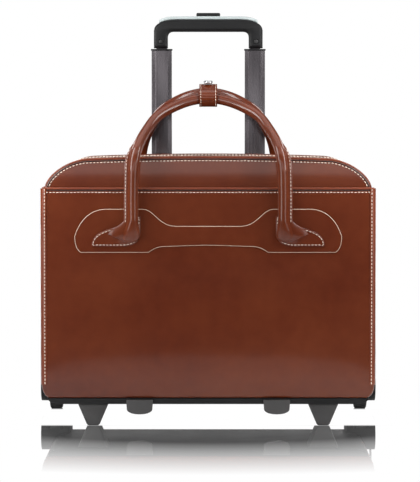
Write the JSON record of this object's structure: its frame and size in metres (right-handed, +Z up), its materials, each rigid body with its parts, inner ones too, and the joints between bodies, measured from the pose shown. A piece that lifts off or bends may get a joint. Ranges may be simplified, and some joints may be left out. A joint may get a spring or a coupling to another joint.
{
  "type": "rolling laptop case",
  "caption": "Leather laptop case with arched carry handles, hinged front, telescoping pull handle and rear wheels; stands on plastic feet.",
  "frame": {"origin": "on the floor, under the middle of the whole case", "axes": "+X to the case's right seen from the front, +Y to the back where the pull handle is, +Z up"},
  "size_m": [0.445, 0.2092, 0.5305],
  "materials": {
    "leather": "glossy cognac leather",
    "lining": "dark woven lining",
    "zip_tape": "black zip tape",
    "black_plastic": "satin black",
    "grey_plastic": "satin dark grey",
    "pale_insert": "satin light grey",
    "gunmetal": "anodised gunmetal",
    "steel": "bright plated steel",
    "tyre": "black polyurethane"
  },
  "bodies": {
    "case": {"rear_panel": "leather", "rear_gusset": "leather", "bottom_panel": "leather", "laptop_sleeve": "lining", "zip_tape_rear": "zip_tape", "base_tray": "black_plastic", "trolley_cover": "leather", "tube_bezel": "black_plastic", "tube_bracket": "grey_plastic", "rear_tab_left": "leather", "rear_tab_right": "leather", "base_clip_left": "grey_plastic", "base_clip_right": "grey_plastic", "front_foot_left": "grey_plastic", "front_foot_right": "grey_plastic", "wheel_housing_left": "black_plastic", "wheel_housing_right": "black_plastic", "axle_pin_left": "steel", "axle_pin_right": "steel", "sleeve_tube_left": "gunmetal", "sleeve_tube_right": "gunmetal"},
    "front_shell": {"front_panel": "leather", "front_gusset": "leather", "organiser_pocket": "lining", "zip_tape_front": "zip_tape", "pocket_panel": "leather", "overlay": "leather", "front_tab_left": "leather", "front_tab_right": "leather"},
    "front_handle": {"front_handle": "leather"},
    "rear_handle": {"rear_handle": "leather", "strap_band": "leather"},
    "strap_flap": {"strap_flap": "leather", "snap_cap": "steel"},
    "middle_stage": {"middle_tube_left": "gunmetal", "middle_tube_right": "gunmetal", "collar_left": "black_plastic", "collar_right": "black_plastic"},
    "upper_stage": {"inner_tube_left": "gunmetal", "inner_tube_right": "gunmetal", "grip_screw_left": "steel", "grip_screw_right": "steel", "grip_body": "black_plastic", "grip_insert": "pale_insert", "release_spring": "steel"},
    "release": {"release_button": "black_plastic", "release_bar": "grey_plastic", "release_rod_left": "steel", "release_rod_right": "steel"},
    "wheel_left": {"wheel_tyre_left": "tyre", "wheel_core_left": "grey_plastic", "wheel_bearing_left": "steel"},
    "wheel_right": {"wheel_tyre_right": "tyre", "wheel_core_right": "grey_plastic", "wheel_bearing_right": "steel"},
    "zip_slider": {"zip_slider": "steel"},
    "zip_pull": {"zip_pull": "steel"}
  },
  "joints": [
    {"name": "front_opening", "type": "hinge", "parent": "case", "child": "front_shell", "pos_m": [0, -0.08641, 0.037], "axis": [1, 0, 0], "range_deg": [0, 55]},
    {"name": "front_handle_swing", "type": "hinge", "parent": "front_shell", "child": "front_handle", "pos_m": [0, -0.09781, 0.262], "axis": [1, 0, 0], "range_deg": [0, 60]},
    {"name": "rear_handle_swing", "type": "hinge", "parent": "case", "child": "rear_handle", "pos_m": [0, 0.08849, 0.262], "axis": [-1, 0, 0], "range_deg": [0, 6], "deforming": ["strap_band"]},
    {"name": "strap_opening", "type": "hinge", "parent": "rear_handle", "child": "strap_flap", "pos_m": [0, -0.0177, 0.4122], "axis": [1, 0, 0], "range_deg": [0, 120], "deforming": ["strap_flap"]},
    {"name": "middle_slide", "type": "slide", "parent": "case", "child": "middle_stage", "axis": [0, 0, 1], "range_m": [-0.1365, 0.105]},
    {"name": "upper_slide", "type": "slide", "parent": "middle_stage", "child": "upper_stage", "axis": [0, 0, 1], "range_m": [0, 0.225]},
    {"name": "release_press", "type": "slide", "parent": "upper_stage", "child": "release", "axis": [0, 0, -1], "range_m": [0, 0.003], "stiffness_N_per_m": 800, "springref_m": -0.003, "deforming": ["release_spring"]},
    {"name": "wheel_left_spin", "type": "hinge", "parent": "case", "child": "wheel_left", "pos_m": [-0.2035, 0.07559, 0.025], "axis": [1, 0, 0], "continuous": true},
    {"name": "wheel_right_spin", "type": "hinge", "parent": "case", "child": "wheel_right", "pos_m": [0.2035, 0.07559, 0.025], "axis": [1, 0, 0], "continuous": true},
    {"name": "zip_slide", "type": "slide", "parent": "front_shell", "child": "zip_slider", "axis": [0, 0, 1], "range_m": [0, 0.2]},
    {"name": "zip_pull_swing", "type": "hinge", "parent": "zip_slider", "child": "zip_pull", "pos_m": [0.2131, 0.00059, 0.0697], "axis": [0, -1, 0], "range_deg": [0, 100]}
  ]
}
